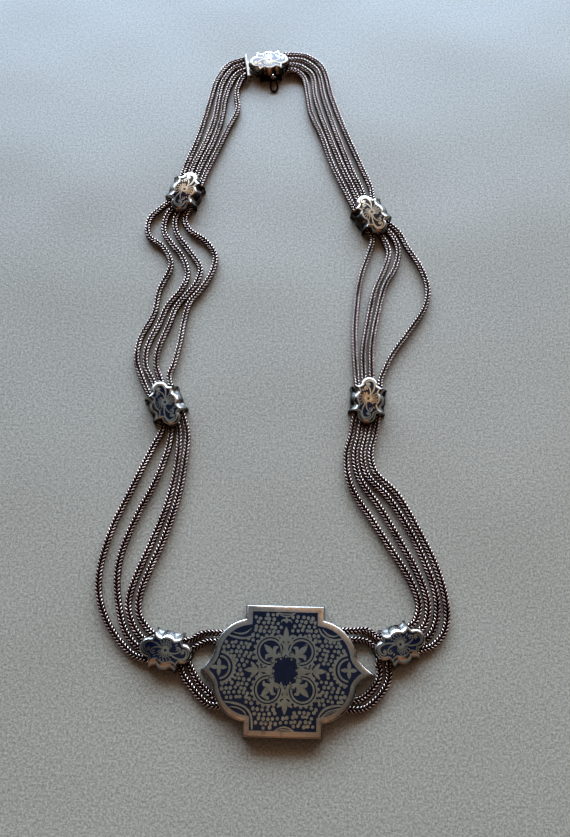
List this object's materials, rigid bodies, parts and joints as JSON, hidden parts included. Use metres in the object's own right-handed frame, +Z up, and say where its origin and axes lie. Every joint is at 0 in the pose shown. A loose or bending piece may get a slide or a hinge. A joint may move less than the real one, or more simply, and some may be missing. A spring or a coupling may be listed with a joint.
{
  "type": "multi-strand plaque necklace",
  "caption": "Silver necklace laid flat: parallel foxtail chains gathered by scalloped niello slides, joined by a niello cartouche plaque in front and a box clasp with a small ring behind.",
  "frame": {"origin": "under the middle of the plaque's flat back, on the surface the necklace lies on", "axes": "+Z up from the surface, +Y from the plaque towards the clasp, +X to the viewer's right when the plaque is nearest the viewer"},
  "size_m": [0.0943, 0.2112, 0.0045],
  "materials": {
    "silver": "old silver, softly polished by wear",
    "niello": "blue-black niello with scroll ornament left in silver, polished flush",
    "chain": "oxidised silver wire, bright on the crowns of the links"
  },
  "bodies": {
    "root": {"plaque_case": "silver", "plaque_niello": "niello", "slide_left_upper": "silver", "slide_left_middle": "silver", "slide_left_lower": "silver", "slide_right_upper": "silver", "slide_right_middle": "silver", "slide_right_lower": "silver", "slide_left_upper_niello": "niello", "slide_left_middle_niello": "niello", "slide_left_lower_niello": "niello", "slide_right_upper_niello": "niello", "slide_right_middle_niello": "niello", "slide_right_lower_niello": "niello", "clasp_box": "silver", "clasp_niello": "niello", "clasp_tongue": "silver", "clasp_ring": "silver", "chain_left_1": "chain", "chain_left_2": "chain", "chain_left_3": "chain", "chain_left_4": "chain", "chain_right_1": "chain", "chain_right_2": "chain", "chain_right_3": "chain", "chain_right_4": "chain"}
  },
  "joints": []
}
